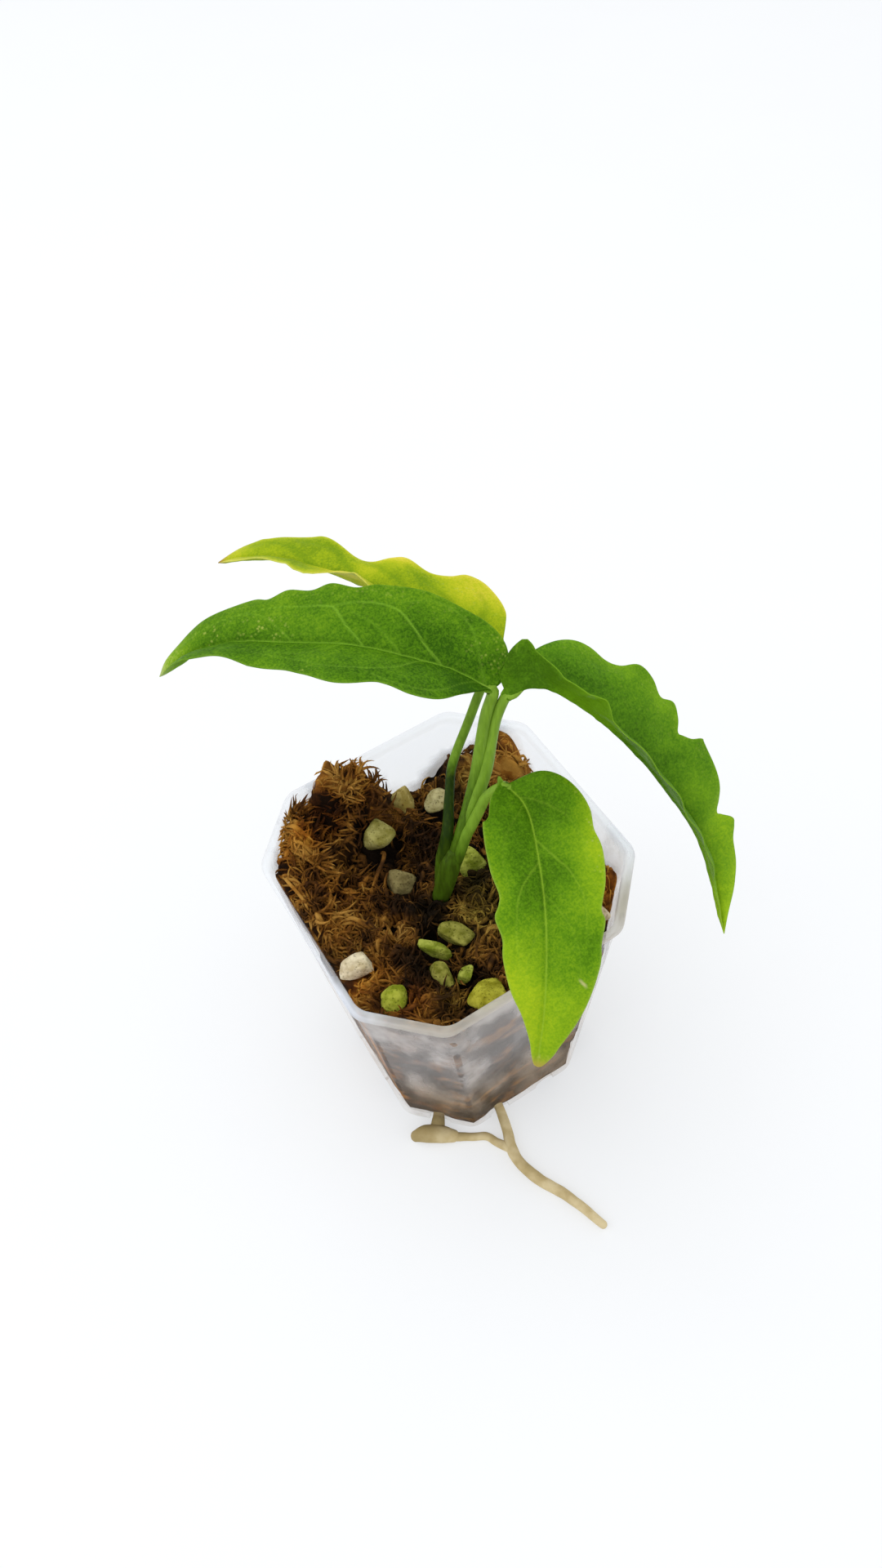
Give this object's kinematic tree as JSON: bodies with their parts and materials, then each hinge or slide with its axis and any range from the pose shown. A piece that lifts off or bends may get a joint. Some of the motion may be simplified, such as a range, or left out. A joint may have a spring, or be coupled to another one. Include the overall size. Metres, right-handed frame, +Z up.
{
  "type": "potted monstera obliqua",
  "caption": "Young climbing monstera with lance-shaped arching leaves on slim stalks, in a clear eight-sided nursery pot of moss and pumice, with a root out of its drain slots.",
  "frame": {"origin": "middle of the underside of the pot's floor, on the surface it stands on", "axes": "+Z up; the pot's four flats face +X, -X, +Y and -Y; the root lies on the -Y side, and the picture was taken from -Y, turned 26 degrees towards -X"},
  "size_m": [0.0865, 0.1217, 0.1471],
  "materials": {
    "pot_plastic": "clear, slightly hazy",
    "moss": "fibrous, damp",
    "pumice_khaki": "rough, porous",
    "pumice_green": "rough, porous, algae green",
    "pumice_cream": "rough, porous",
    "stalk": "smooth, satin",
    "leaf_dark": "satin",
    "leaf_mid": "satin",
    "leaf_light": "satin",
    "leaf_yellow": "satin",
    "root": "dull, slightly rough"
  },
  "bodies": {
    "root": {"pot": "pot_plastic", "moss": "moss", "pumice_01": "pumice_khaki", "pumice_02": "pumice_khaki", "pumice_03": "pumice_khaki", "pumice_04": "pumice_khaki", "pumice_05": "pumice_green", "pumice_06": "pumice_cream", "pumice_07": "pumice_green", "pumice_08": "pumice_green", "pumice_09": "pumice_green", "pumice_10": "pumice_green", "pumice_11": "pumice_green", "pumice_12": "pumice_green", "pumice_13": "pumice_cream", "stem_with_stalks": "stalk", "leaf_left": "leaf_dark", "leaf_right": "leaf_mid", "leaf_front": "leaf_light", "leaf_back": "leaf_yellow", "roots": "root"}
  },
  "joints": []
}
